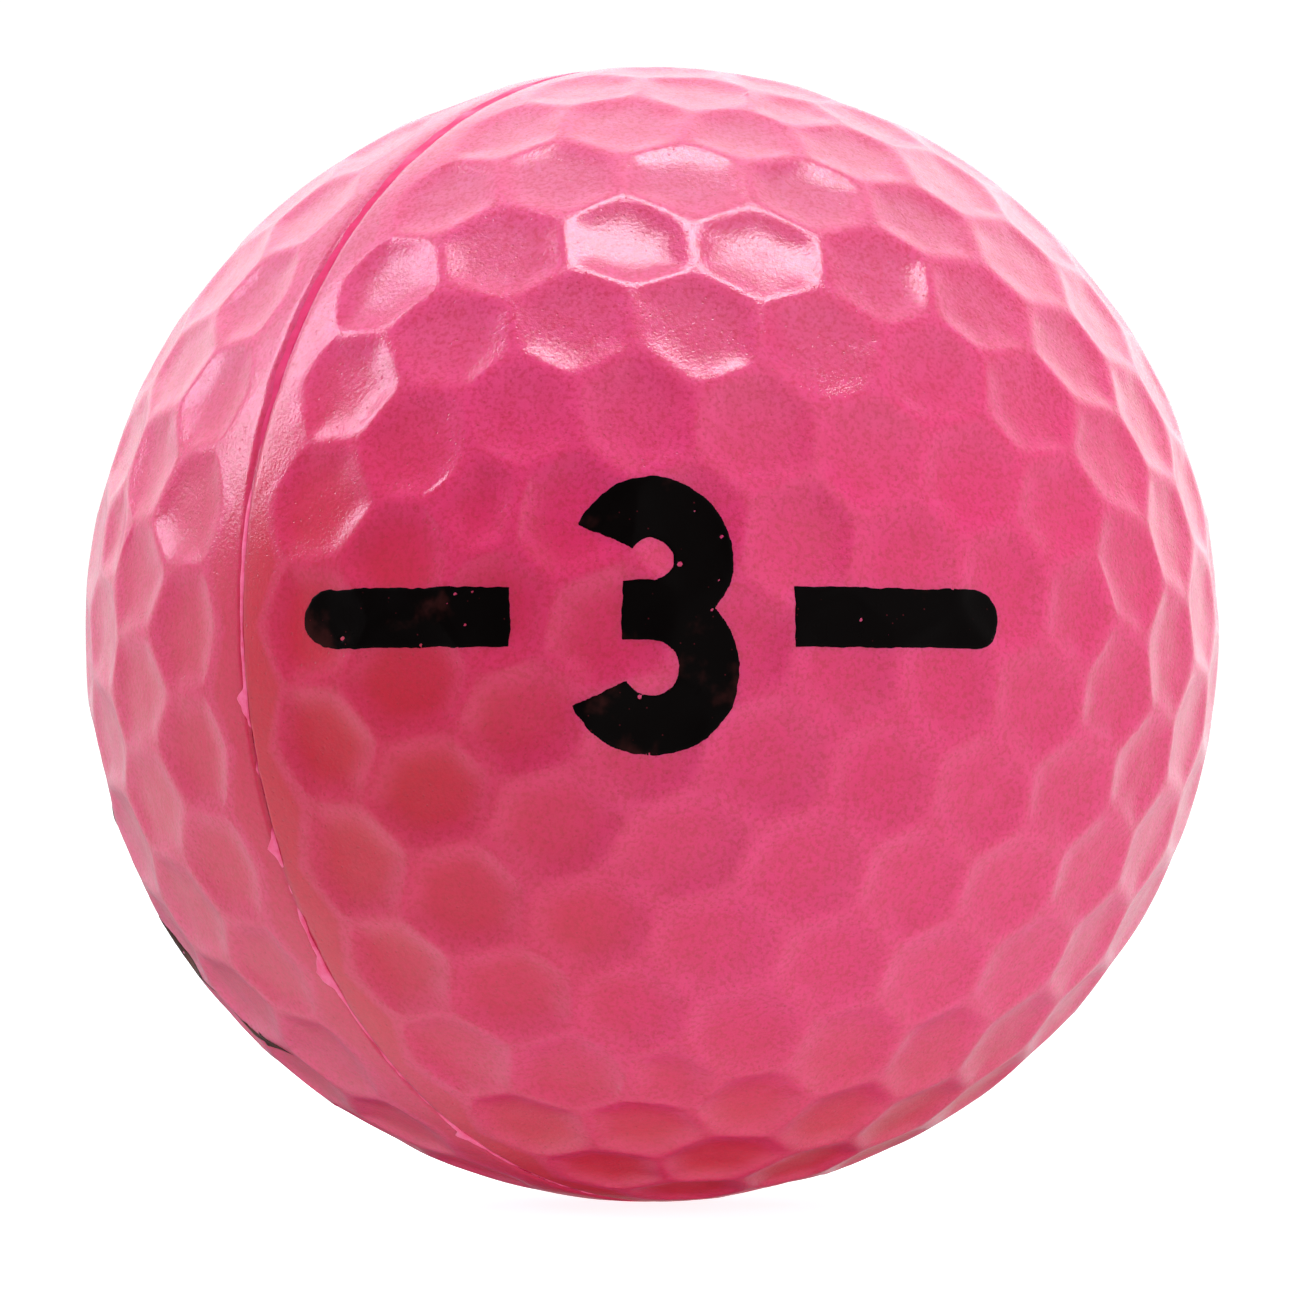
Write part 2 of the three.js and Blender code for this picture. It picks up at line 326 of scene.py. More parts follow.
flash_rise = along_seam(
    (-75, -0.03), (-58, -0.06), (-42, -0.07), (-36, -0.10), (-20, -0.11), (-2, -0.10),
    (1.5, 0.03), (15, 0.035), (17.3, 0.0), (19, 0.05), (21.5, 0.02), (22, -0.12), (25, -0.12),
    (26, -0.01), (27, -0.12), (31.5, -0.12), (33, 0.05), (35.5, 0.03), (36.5, -0.06),
    (40, -0.06), (41.5, 0.05), (50, 0.05), (52, -0.01), (54.5, -0.02), (56, -0.06),
    (61, -0.06), (61.8, -0.01), (63, -0.06), (68.5, -0.06), (70, 0.0), (74.5, 0.0),
    (76, -0.06), (108, -0.06), (112, 0.04), (115, 0.05), (119, -0.12), (148, -0.1),
    (155, 0.05), (210, 0.04), (216, -0.12), (248, -0.14), (258, 0.05), (275, 0.04),
)  # fmt: skip
flash_half_width = along_seam(
    (-75, 0.3), (-58, 0.32), (-42, 0.28), (-35, 0.25), (-12, 0.22), (-9, 0.14), (-1, 0.11),
    (2, 0.11), (21, 0.1), (22, 0.06), (31.5, 0.06), (32.5, 0.1), (40, 0.1),
    (42, 0.11), (50, 0.11), (52, 0.07), (68, 0.07), (72, 0.12), (76, 0.08), (100, 0.1),
    (118, 0.18), (150, 0.18), (158, 0.1), (210, 0.1), (218, 0.18), (248, 0.18), (258, 0.1),
)  # fmt: skip
FLASH_SHREDS = (
    # degrees along the seam, half length in degrees, reach in mm over the rear half
    (19.4, 1.6, 0.42),
    (34.0, 1.3, 0.30),
    (47.8, 2.1, 0.60),
    (72.6, 2.0, 0.26),
    (114.0, 1.8, 0.35),
    (160.0, 2.4, 0.45),
    (205.0, 1.5, 0.30),
    (262.0, 2.2, 0.5),
)


# Meshes


def mesh_object(name, points, faces, material, attributes=None):
    """An object of a mesh with smooth shading. points are in mm, in the ball's frame."""
    mesh = bpy.data.meshes.new(name)
    faces = np.asarray(faces)
    mesh.vertices.add(len(points))
    mesh.vertices.foreach_set("co", (np.asarray(points) * MM).astype(np.float32).ravel())
    sides = faces.shape[1]
    mesh.loops.add(faces.size)
    mesh.loops.foreach_set("vertex_index", faces.astype(np.int32).ravel())
    mesh.polygons.add(len(faces))
    mesh.polygons.foreach_set("loop_start", np.arange(0, faces.size, sides, dtype=np.int32))
    mesh.update(calc_edges=True)
    mesh.validate()
    for key, values in (attributes or {}).items():
        attribute = mesh.attributes.new(key, "FLOAT", "POINT")
        attribute.data.foreach_set("value", np.asarray(values, np.float32))
    mesh.polygons.foreach_set("use_smooth", np.ones(len(mesh.polygons), bool))
    mesh.materials.append(material)
    piece = bpy.data.objects.new(name, mesh)
    bpy.context.scene.collection.objects.link(piece)
    return piece


def stands_for(piece, slot, *nodes):
    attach(piece, "root")
    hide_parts(*nodes)
    return piece


def welded(points, faces, with_kept=False):
    """Joins points that coincide, and drops faces that have no area. The indices of the points
    that are kept come third, when they are asked for."""
    keys = np.round(points * 1e5).astype(np.int64)
    _, first, which = np.unique(keys, axis=0, return_index=True, return_inverse=True)
    faces = which.reshape(-1)[faces]
    distinct = [faces[:, i] != faces[:, j] for i in range(3) for j in range(i)]
    faces = faces[np.all(distinct, axis=0)]
    return (points[first], faces, first) if with_kept else (points[first], faces)


def sector(centre, corner, next_corner, rings):
    """Directions and triangles of one slice of a cell, from its centre to one side."""
    points, faces, start = [centre], [], 0
    for ring in range(1, rings + 1):
        share = ring / rings
        across = (np.arange(ring + 1) / ring)[:, None]
        edge = corner * (1 - across) + next_corner * across
        points += list(centre * (1 - share) + edge * share)
        inner, outer = start, start + ring
        for i in range(ring):
            faces.append((inner + i, outer + i, outer + i + 1))
            if i < ring - 1:
                faces.append((inner + i, outer + i + 1, inner + i + 1))
        start = outer
    return np.array(points), np.array(faces)


def dimple_directions():
    """Directions and triangles of every dimple of one half."""
    all_points, all_faces, count = [], [], 0
    for cell in range(PATTERN.count):
        corners = PATTERN.corners[cell]
        for i in range(len(corners)):
            slice_points, faces = sector(
                PATTERN.centres[cell], corners[i], corners[(i + 1) % len(corners)], CELL_RINGS
            )
            all_points.append(slice_points)
            all_faces.append(faces + count)
            count += len(slice_points)
    return unit(np.concatenate(all_points)), np.concatenate(all_faces)


def seam_edge():
    """Directions along the zigzag lower edge of the last row, all round the seam."""
    knots = []
    row = PATTERN.centres[PATTERN.last_row_start : PATTERN.count]
    land = PATTERN.centres[PATTERN.land_centres]
    for i in range(SEAM_ROW_COUNT):
        after = row[(i + 1) % SEAM_ROW_COUNT]
        knots.append(unit(row[i] + land[i - 1] + land[i]))
        knots.append(unit(row[i] + land[i] + after))
    points = []
    for i, knot in enumerate(knots):
        after = knots[(i + 1) % len(knots)]
        for step in range(CELL_RINGS):
            points.append(knot * (1 - step / CELL_RINGS) + after * step / CELL_RINGS)
    return unit(np.array(points))


def grid_faces(rows, columns):
    """Triangles between the rows of a grid that closes on itself along its rows."""
    i = np.arange(rows - 1)[:, None] * columns
    j = np.arange(columns)[None, :]
    after = (j + 1) % columns
    a, b, c, d = i + j, i + after, i + columns + after, i + columns + j
    lower = np.stack([a, d, b], -1).reshape(-1, 3)
    upper = np.stack([b, d, c], -1).reshape(-1, 3)
    return np.concatenate([lower, upper])


def land_directions():
    """Directions and triangles of the land from the last dimples to the parting plane."""
    edge = seam_edge()
    longitude = np.arctan2(edge[:, 1], edge[:, 0])
    latitude = np.arcsin(edge[:, 2])
    share = (1 - np.arange(LAND_ROWS + 1) / LAND_ROWS) ** LAND_GRADING
    rows = [edge] + [direction(longitude, latitude * s) for s in share[1:]]
    below_edge = BALL_RADIUS * np.outer(1 - share, latitude).ravel()
    return np.concatenate(rows), grid_faces(LAND_ROWS + 1, len(edge)), below_edge


def add_rim(directions, radius, points, relief, faces):
    """Carries the surface down from the parting plane towards the ball's centre."""
    rim = np.flatnonzero(np.abs(directions[:, 2]) < 1e-9)
    rim = rim[np.argsort(np.arctan2(directions[rim, 1], directions[rim, 0]))]
    last = rim
    for drop in RIM_DROPS:
        lower = directions[rim] * (radius[rim] - drop)[:, None]
        ring = np.arange(len(points), len(points) + len(rim))
        quads = np.concatenate([last, ring])[grid_faces(2, len(rim))]
        points = np.concatenate([points, lower])
        relief = np.concatenate([relief, np.zeros(len(rim))])
        faces = np.concatenate([faces, quads])
        last = ring
    return points, relief, faces


def cover_half(name, side, material, node):
    """One half of the skin: its dimples, the land at the seam and the start of its rim."""
    skin = Skin(side)
    cap, cap_faces = dimple_directions()
    land, land_faces, below_edge = land_directions()
    cap, cap_faces = welded(cap, cap_faces)
    directions = np.concatenate([cap, land])
    from_edge = np.concatenate([np.zeros(len(cap)), below_edge])
    faces = np.concatenate([cap_faces, land_faces + len(cap)])
    directions, faces, kept = welded(directions, faces, with_kept=True)
    radius = skin.radius(directions)
    relief, _ = skin.relief(directions)
    # The relief attribute also carries the painted ridge light of the skin's colour; on the land it
    # rises to 1 away from the last dimples, so the land keeps the body colour.
    relief = np.maximum(relief, smoothstep(0, CREST_WIDTH, from_edge[kept]))
    points = directions * radius[:, None]
    points, relief, faces = add_rim(directions, radius, points, relief, faces)
    points = skin.in_ball(points)
    faces = outward(points, faces)
    piece = mesh_object(name, points, faces, material, {"relief": relief})
    return stands_for(piece, "cover_skin", node)


def outward(points, faces):
    """Turns every triangle to face away from the ball's centre."""
    a, b, c = (points[faces[:, i]] for i in range(3))
    inward = (np.cross(b - a, c - a) * (a + b + c)).sum(-1) < 0
    faces = faces.copy()
    faces[inward] = faces[inward][:, ::-1]
    return faces


def with_shreds(half, turn, ragged_by):
    """The flash's reach over the rear half: half its width, and more where it is torn."""
    reach = half.copy()
    for centre, half_length, length in FLASH_SHREDS:
        away = np.abs((np.degrees(turn) - centre + 180) % 360 - 180) / half_length
        reach += length * np.clip(1 - away, 0, 1) * (1 + 0.3 * ragged_by)
    return reach


def parting_flash(material):
    """The fin of flash: a thin raised line, ragged in places, low in the groove in others."""
    turn = np.arange(FLASH_STEPS) * 2 * math.pi / FLASH_STEPS
    on_seam = direction(turn, 0.0) * BALL_RADIUS
    jitter, waver, rag = SmoothNoise(3, 1.2), SmoothNoise(4, 9), SmoothNoise(5, 0.5)
    rise = flash_rise(turn) + RISE_JITTER * jitter(on_seam)
    uneven = 1 + WIDTH_JITTER * jitter(on_seam + 50) + WIDTH_WAVER * waver(on_seam)
    half = np.clip(flash_half_width(turn) * uneven, THINNEST_HALF, None)
    reach = with_shreds(half, turn, rag(on_seam))
    middle = LINE_WAVER * waver(on_seam + 20)
    shred = smoothstep(0.05, 0.25, reach - half)
    sunk = smoothstep(0.0, -0.05, rise)
    roundness = 4 + 5 * np.maximum(shred, sunk)
    level = np.where(shred > 0.3, np.clip(rise, SHRED_RISE, None), rise)
    drop = FLASH_ROOT - (FLASH_ROOT - SUNK_ROOT) * sunk + np.clip(level, 0, None)
    rows, heights = [], []
    for position in FLASH_ACROSS:
        offset = middle + position * (half if position < 0 else reach)
        crown = np.clip(1 - abs(position) ** roundness, 0, None)
        sag = FLASH_SAG if abs(position) > 1 else 0
        radius = BALL_RADIUS + level - (1 - crown) * drop - sag
        rows.append(direction(turn, -offset / BALL_RADIUS) * radius[:, None])
        heights.append(level)
    points = np.concatenate(rows) @ MOULD.T
    faces = outward(points, grid_faces(len(FLASH_ACROSS), FLASH_STEPS))
    # The raised attribute also sets the flash's painted groove shade, darker where it lies low.
    raised = {"raised": smoothstep(-0.1, 0.0, np.concatenate(heights))}
    piece = mesh_object("moulding_flash", points, faces, material, raised)
    return stands_for(piece, "flash_skin", "parting_flash")


# Printed marks: a play number between two bars or two arrows, as signed distances in a plane.
# x runs along the line of print and y up. A distance is below 0 inside the ink.


def capsule(x, y, start, end, half):
    along = np.array(end) - np.array(start)
    t = ((x - start[0]) * along[0] + (y - start[1]) * along[1]) / (along @ along)
    t = np.clip(t, 0, 1)
    return np.hypot(x - start[0] - t * along[0], y - start[1] - t * along[1]) - half


def rectangle(x, y, left, right, bottom, top):
    dx = np.maximum(left - x, x - right)
    dy = np.maximum(bottom - y, y - top)
    return np.hypot(np.maximum(dx, 0), np.maximum(dy, 0)) + np.minimum(np.maximum(dx, dy), 0)


def arc_stroke(x, y, centre_y, radius, half, start, end):
    """A stroke along part of a circle, from angle start to end, with cut ends."""
    y = y - centre_y
    middle, reach = (start + end) / 2, (end - start) / 2
    angle = np.abs((np.arctan2(y, x) - middle + math.pi) % (2 * math.pi) - math.pi)
    distance = np.abs(np.hypot(x, y) - radius) - half
    cut = np.hypot(x, y) * np.sin(np.clip(angle - reach, -math.pi / 2, math.pi / 2))
    return np.maximum(distance, cut)


UPPER_BOWL_SHARE = 0.235
BOWL_MOUTH = 155 * DEGREE
ARM_LENGTH_IN_STROKES = 0.5


class Print:
    """One line of print: where it is on the ball, and the outlines of its three marks."""

    def __init__(self, skin, facing, reading, number_height, stroke, bar_length, bar_width,
                 bar_gap, arrow):  # fmt: skip
        self.skin = skin
        self.facing = unit(np.array(facing, float))
        self.reading = unit(np.array(reading) - self.facing * (self.facing @ reading))
        self.up = np.cross(self.facing, self.reading)
        self.height, self.stroke = number_height, stroke
        self.bar_length, self.bar_width = bar_length, bar_width
        self.bar_gap, self.arrow = bar_gap, arrow

    def number(self, x, y):
        half = self.stroke / 2
        upper = (self.height - self.stroke) * UPPER_BOWL_SHARE
        lower = (self.height - self.stroke) * (0.5 - UPPER_BOWL_SHARE)
        waist = self.height / 2 - half - 2 * upper
        bowls = np.minimum(
            arc_stroke(x, y, waist + upper, upper, half, -90 * DEGREE, BOWL_MOUTH),
            arc_stroke(x, y, waist - lower, lower, half, -BOWL_MOUTH, 90 * DEGREE),
        )
        arm = rectangle(
            x, y, -self.stroke * ARM_LENGTH_IN_STROKES, 0.2, waist - half, waist + half
        )
        return np.minimum(bowls, arm)

    def half_number(self):
        lower = (self.height - self.stroke) * (0.5 - UPPER_BOWL_SHARE)
        return lower + self.stroke / 2

    def bar(self, side):
        inner = self.half_number() + self.bar_gap
        outer = inner + self.bar_length
        half = self.bar_width / 2

        def outline(x, y):
            x = x * side
            if self.arrow:
                neck = outer - self.bar_width
                shaft = rectangle(x, y, inner, neck + 0.1, -half / 2, half / 2)
                slope = half / (outer - neck)
                head = (np.abs(y) + slope * (x - outer)) / math.hypot(1, slope)
                return np.minimum(shaft, np.maximum(head, neck - x))
            body = rectangle(x, y, inner, outer - half, -half, half)
            return np.minimum(body, capsule(x, y, (outer - half, 0), (outer - half, 1e-6), half))

        return outline

    def extent(self, side):
        """Low and high x of a mark: the number for side 0, else the bar on that side."""
        if side == 0:
            return -self.half_number(), self.half_number()
        ends = (self.half_number() + self.bar_gap) * side
        tip = ends + self.bar_length * side
        return min(ends, tip), max(ends, tip)

    def directions(self, x, y):
        """Directions in the ball's frame under these points of the print's plane."""
        depth = np.sqrt(np.clip(BALL_RADIUS**2 - x**2 - y**2, 0, None))
        points = x[:, None] * self.reading + y[:, None] * self.up + depth[:, None] * self.facing
        return unit(points)


def ragged(outline, seed):
    """An outline with the small wobble of a printed edge and a few pinholes."""
    random = np.random.default_rng(seed)
    coarse, fine = SmoothNoise(seed + 1, 1.3), SmoothNoise(seed + 2, 0.35)
    holes = random.uniform(-PINHOLE_FIELD, PINHOLE_FIELD, (PINHOLES, 2))
    sizes = random.uniform(*PINHOLE_RADII, PINHOLES)

    def distance(x, y):
        flat = np.stack([x, y, np.zeros_like(x)], -1)
        edge = outline(x, y) + INK_WOBBLE_COARSE * coarse(flat) + INK_WOBBLE_FINE * fine(flat)
        for (hole_x, hole_y), size in zip(holes, sizes):
            near = (np.abs(x - hole_x) < 0.5) & (np.abs(y - hole_y) < 0.5)
            if near.any():
                gap = size - np.hypot(x[near] - hole_x, y[near] - hole_y)
                edge[near] = np.maximum(edge[near], gap)
        return edge

    return distance


def clipped_grid(distance, low, high):
    """Points and triangles that fill a flat outline: a fine grid, cut where distance is 0."""
    columns = int((high[0] - low[0]) / INK_SPACING) + 2
    rows = int((high[1] - low[1]) / INK_SPACING) + 2
    grid_x, grid_y = np.meshgrid(
        low[0] + np.arange(columns) * INK_SPACING, low[1] + np.arange(rows) * INK_SPACING
    )
    x, y = grid_x.ravel(), grid_y.ravel()
    value = distance(x, y)
    i, j = np.meshgrid(np.arange(rows - 1), np.arange(columns - 1), indexing="ij")
    corner = (i * columns + j).ravel()
    halves = [
        np.stack([corner, corner + 1, corner + columns + 1], -1),
        np.stack([corner, corner + columns + 1, corner + columns], -1),
    ]
    triangles = np.concatenate(halves)
    inside = value[triangles] < 0
    count = inside.sum(-1)
    points = [np.stack([x, y], -1)]
    faces = [triangles[count == 3]]
    start = len(x)
    for wanted in (1, 2):
        chosen = triangles[count == wanted]
        flags = inside[count == wanted] == (wanted == 1)
        first = np.argmax(flags, -1)
        order = (first[:, None] + np.arange(3)) % 3
        a, b, c = np.take_along_axis(chosen, order, 1).T
        cut_b = crossing(points[0], value, a, b)
        cut_c = crossing(points[0], value, a, c)
        n = len(chosen)
        at_b, at_c = start + np.arange(n), start + n + np.arange(n)
        points += [cut_b, cut_c]
        start += 2 * n
        if wanted == 1:
            faces.append(np.stack([a, at_b, at_c], -1))
        else:
            faces.append(np.stack([at_b, b, c], -1))
            faces.append(np.stack([at_b, c, at_c], -1))
    return np.concatenate(points), np.concatenate(faces)


def crossing(points, value, a, b):
    share = value[a] / (value[a] - value[b])
    return points[a] + (points[b] - points[a]) * share[:, None]


def ink_mark(name, printed, outline, extent, seed, material, node):
    """A film of ink over the skin, a little proud of it, whose edges sink into it."""
    distance = ragged(outline, seed)
    tall = printed.height / 2 + INK_MARGIN
    low, high = (extent[0] - INK_MARGIN, -tall), (extent[1] + INK_MARGIN, tall)
    flat, faces = clipped_grid(distance, low, high)
    used, faces = np.unique(faces, return_inverse=True)
    flat, faces = flat[used], faces.reshape(-1, 3)
    keys = np.round(flat * 1e4).astype(np.int64)
    _, first, which = np.unique(keys, axis=0, return_index=True, return_inverse=True)
    flat, faces = flat[first], which.reshape(-1)[faces]
    x, y = flat[:, 0], flat[:, 1]
    directions = printed.directions(x, y)
    radius = printed.skin.radius(printed.skin.in_half(directions))
    depth = np.clip(-distance(x, y) / INK_EDGE, 0, 1)
    radius += INK_HEIGHT * np.sqrt(depth) - INK_SINK * (1 - depth)
    points = directions * radius[:, None]
    faces = outward(points, faces)
    piece = mesh_object(name, points, faces, material)
    return stands_for(piece, "print_ink", node)


def printed_line(prefix, bar_name, printed, material, seed):
    """The number and the bar or arrow on each side of it."""
    marks = (
        ("number", printed.number, 0),
        (f"{bar_name}_left", printed.bar(-1), -1),
        (f"{bar_name}_right", printed.bar(1), 1),
    )
    for index, (mark, outline, side) in enumerate(marks):
        ink_mark(
            f"ink_{prefix}_{mark}",
            printed,
            outline,
            printed.extent(side),
            seed + 10 * index,
            material,
            f"{prefix}_print_{mark}",
        )


# Materials


class Nodes:
    """Builds a node material whose surface is one Principled shader."""

    def __init__(self, name):
        self.material = bpy.data.materials.new(name)
        self.material.use_nodes = True
        self.tree = self.material.node_tree
        self.shader = self.tree.nodes["Principled BSDF"]
        self.place = self.add("ShaderNodeTexCoord").outputs["Object"]

    def add(self, kind, **settings):
        node = self.tree.nodes.new(kind)
        for key, value in settings.items():
            setattr(node, key, value)
        return node

    def link(self, source, socket):
        self.tree.links.new(source, socket)

    def set(self, **sockets):
        for key, value in sockets.items():
            self.shader.inputs[key.replace("_", " ")].default_value = value

    def noise(self, size_mm, detail=2.0, roughness=0.5):
        node = self.add("ShaderNodeTexNoise")
        self.link(self.place, node.inputs["Vector"])
        node.inputs["Scale"].default_value = 1 / (size_mm * MM)
        node.inputs["Detail"].default_value = detail
        node.inputs["Roughness"].default_value = roughness
        return node.outputs["Fac"]

    def spots(self, spacing_mm, low_mm, high_mm):
        """1 in small round spots, 0 between them."""
        node = self.add("ShaderNodeTexVoronoi")
        self.link(self.place, node.inputs["Vector"])
        node.inputs["Scale"].default_value = 1 / (spacing_mm * MM)
        return self.ramp(node.outputs["Distance"], high_mm / spacing_mm, low_mm / spacing_mm)

    def ramp(self, source, low, high, to_low=0.0, to_high=1.0):
        node = self.add("ShaderNodeMapRange", interpolation_type="SMOOTHSTEP")
        self.link(source, node.inputs["Value"])
        node.inputs["From Min"].default_value = low
        node.inputs["From Max"].default_value = high
        node.inputs["To Min"].default_value = to_low
        node.inputs["To Max"].default_value = to_high
        return node.outputs["Result"]

    def math(self, operation, first, second):
        node = self.add("ShaderNodeMath", operation=operation)
        for socket, value in zip(node.inputs, (first, second)):
            if isinstance(value, (int, float)):
                socket.default_value = value
            else:
                self.link(value, socket)
        return node.outputs["Value"]

    def mix(self, share, first, second, blend="MIX"):
        node = self.add("ShaderNodeMix", data_type="RGBA", blend_type=blend)
        for name, value in (("Factor", share), ("A", first), ("B", second)):
            socket = next(
                s
                for s in node.inputs
                if s.name == name and s.type == ("VALUE" if name == "Factor" else "RGBA")
            )
            if isinstance(value, (int, float)):
                socket.default_value = value
            elif isinstance(value, tuple):
                socket.default_value = (*value, 1)
            else:
                self.link(value, socket)
        return next(s for s in node.outputs if s.type == "RGBA")

    def along(self, towards):
        """How far a point is from the ball's centre towards a direction, in ball radii."""
        node = self.add("ShaderNodeVectorMath", operation="DOT_PRODUCT")
        self.link(self.place, node.inputs[0])
        node.inputs[1].default_value = Vector(towards) / (BALL_RADIUS * MM)
        return node.outputs["Value"]

    def attribute(self, name):
        return self.add("ShaderNodeAttribute", attribute_name=name).outputs["Fac"]

    def bump(self, height, distance_mm, strength=1.0, below=None):
        node = self.add("ShaderNodeBump")
        node.inputs["Strength"].default_value = strength
        node.inputs["Distance"].default_value = distance_mm * MM
        self.link(height, node.inputs["Height"])
        if below is not None:
            self.link(below, node.inputs["Normal"])
        return node.outputs["Normal"]


def skin_material(name, shade_share):
    """Satin pink foam skin, with light and shade painted into its colour: painted shade drifts it
    to crimson at the lower left and the bottom, and painted light makes it pale pink at the top
    and paler on the ridges. It is also mottled, gritty and finely pored, with painted shade in
    the pores."""
    n = Nodes(name)
    crimson, pink, pale = (0.615, 0.0045, 0.034), (0.73, 0.012, 0.150), (0.80, 0.046, 0.232)
    lit_top_pink, mottled = (0.66, 0.106, 0.240), (0.55, 0.010, 0.050)
    gritty, pored = (0.50, 0.008, 0.034), (0.40, 0.008, 0.03)

    # Painted shade: crimson towards the lower left and the bottom, where less light falls; slow
    # noise breaks up its edge, and each half takes its own share of it.
    lower_left_shade = n.along((-0.60, -0.76, -0.24))
    shade_drift = n.math("ADD", lower_left_shade, n.math("MULTIPLY", n.noise(12), 0.3))
    below = n.ramp(n.along((0, 0, -1)), 0.55, 0.95)
    painted_shade = n.math("MAXIMUM", n.ramp(shade_drift, 0.80, 1.16), below)
    body = n.mix(n.math("MULTIPLY", painted_shade, shade_share), pink, crimson)
    # Painted light: paler pink towards the top, where the overhead light falls.
    body = n.mix(n.ramp(n.along((0, 0, 1)), 0.1, 0.9), body, lit_top_pink)
    # Painted light: paler on the ridge crests, which catch the light, against the darker dimple
    # hollows.
    ridge = n.ramp(n.attribute("relief"), 0.6, 0.0)
    colour = n.mix(n.math("MULTIPLY", ridge, 0.33), body, pale)
    mottle = n.ramp(n.noise(0.7, 4.0, 0.65), 0.38, 0.62)
    colour = n.mix(n.math("MULTIPLY", mottle, 0.2), colour, mottled)
    grit = n.ramp(n.noise(0.17, 2.0, 0.6), 0.42, 0.68)
    colour = n.mix(n.math("MULTIPLY", grit, 0.46), colour, gritty)
    # Darker in the pores: painted shade inside the small pits, which are also bumped in below.
    pores = n.spots(0.31, 0.015, 0.06)
    colour = n.mix(n.math("MULTIPLY", pores, 0.4), colour, pored)
    n.link(colour, n.shader.inputs["Base Color"])

    n.link(n.ramp(n.noise(1.6, 3.0, 0.6), 0.3, 0.7, 0.36, 0.5), n.shader.inputs["Roughness"])
    n.set(IOR=1.27, Subsurface_Weight=0.4, Subsurface_Radius=(1.0, 0.25, 0.35))
    n.set(Subsurface_Scale=0.0012, Subsurface_Anisotropy=0.3)
    n.set(Coat_Weight=0.8, Coat_Roughness=0.11, Coat_IOR=1.5)
    grain = n.bump(n.noise(0.13, 3.0, 0.6), 0.016)
    pits = n.bump(n.math("SUBTRACT", 1.0, pores), 0.007, below=grain)
    n.link(pits, n.shader.inputs["Normal"])
    n.link(pits, n.shader.inputs["Coat Normal"])
    return n.material


def flash_material():
    """The squeezed-out stock: thinner, so brighter and pinker, with torn streaks. Where it lies
    low in the groove its colour is painted darker, as painted shade.
    """
    n = Nodes("pink_flash")
    streak = n.ramp(n.noise(0.35, 4.0, 0.65), 0.3, 0.7)
    hot = n.mix(streak, (0.87, 0.075, 0.205), (0.94, 0.155, 0.335))
    # Painted shade: where the flash lies low in the groove it takes a darker crimson.
    sunk = n.mix(streak, (0.62, 0.014, 0.100), (0.69, 0.022, 0.140))
    raised = n.attribute("raised")
    n.link(n.mix(raised, sunk, hot), n.shader.inputs["Base Color"])
    n.link(n.ramp(raised, 0, 1, 0.75, 0.42), n.shader.inputs["Roughness"])
    n.set(IOR=1.35)
    n.link(n.bump(n.noise(0.12, 3.0), 0.006), n.shader.inputs["Normal"])
    return n.material


def ink_material(name, thick, thin_ink_and_sheen):
    """Glossy print, browner in patches where the film is thin and where a reflection is painted
    in, with fine specks and scuffs.
    """
    n = Nodes(name)
    # Brown patches: partly thin ink, partly a painted reflection of the light off ink over the
    # ridges.
    thin = n.ramp(n.noise(2.6, 4.0, 0.6), 0.55, 0.72)
    colour = n.mix(thin, thick, thin_ink_and_sheen)
    specks = n.spots(0.42, 0.012, 0.04)
    colour = n.mix(n.math("MULTIPLY", specks, 0.6), colour, (0.12, 0.010, 0.018))
    n.link(colour, n.shader.inputs["Base Color"])
    n.link(n.ramp(n.noise(0.8, 3.0), 0.3, 0.7, 0.22, 0.4), n.shader.inputs["Roughness"])
    n.set(IOR=1.3, Specular_IOR_Level=0.06)
    n.link(n.bump(n.noise(0.14, 2.0), 0.004), n.shader.inputs["Normal"])
    return n.material


def foam_material():
    """Pale pink open foam of the core."""
    n = Nodes("pink_core_foam")
    cells = n.add("ShaderNodeTexVoronoi")
    n.link(n.place, cells.inputs["Vector"])
    cells.inputs["Scale"].default_value = 1 / (0.5 * MM)
    shade = n.ramp(cells.outputs["Distance"], 0.1, 0.7)
    colour = n.mix(shade, (0.86, 0.46, 0.55), (0.72, 0.28, 0.38))
    n.link(colour, n.shader.inputs["Base Color"])
    n.set(Roughness=0.95)
    n.link(n.bump(shade, 0.1), n.shader.inputs["Normal"])
    return n.material


# Studio


def plain_material(name, colour, emission):
    n = Nodes(name)
    n.set(Base_Color=(*colour, 1), Roughness=0.9)
    n.set(Emission_Color=(1, 1, 1, 1), Emission_Strength=emission)
    return n.material


def camera_only(stage):
    """Shown to the camera, but it neither lights the ball nor blocks the lights."""
    stage.visible_diffuse = False
    stage.visible_glossy = False
    stage.visible_transmission = False
    stage.visible_shadow = False


STUDIO_RADIUS = 2.4


def studio_floor(level):
    bpy.ops.mesh.primitive_circle_add(vertices=96, radius=STUDIO_RADIUS, fill_type="NGON")
    floor = bpy.context.object
    floor.name = "studio_floor"
    floor.location.z = level
    floor.data.materials.append(plain_material("floor_white", (0.6, 0.6, 0.6), 0.85))
    camera_only(floor)


def studio_backdrop(level):
    bpy.ops.mesh.primitive_uv_sphere_add(segments=64, ring_count=32, radius=STUDIO_RADIUS)
    dome = bpy.context.object
    dome.name = "studio_backdrop"
    dome.location.z = level
    dome.data.materials.append(plain_material("backdrop_white", (0, 0, 0), 1.05))
    camera_only(dome)


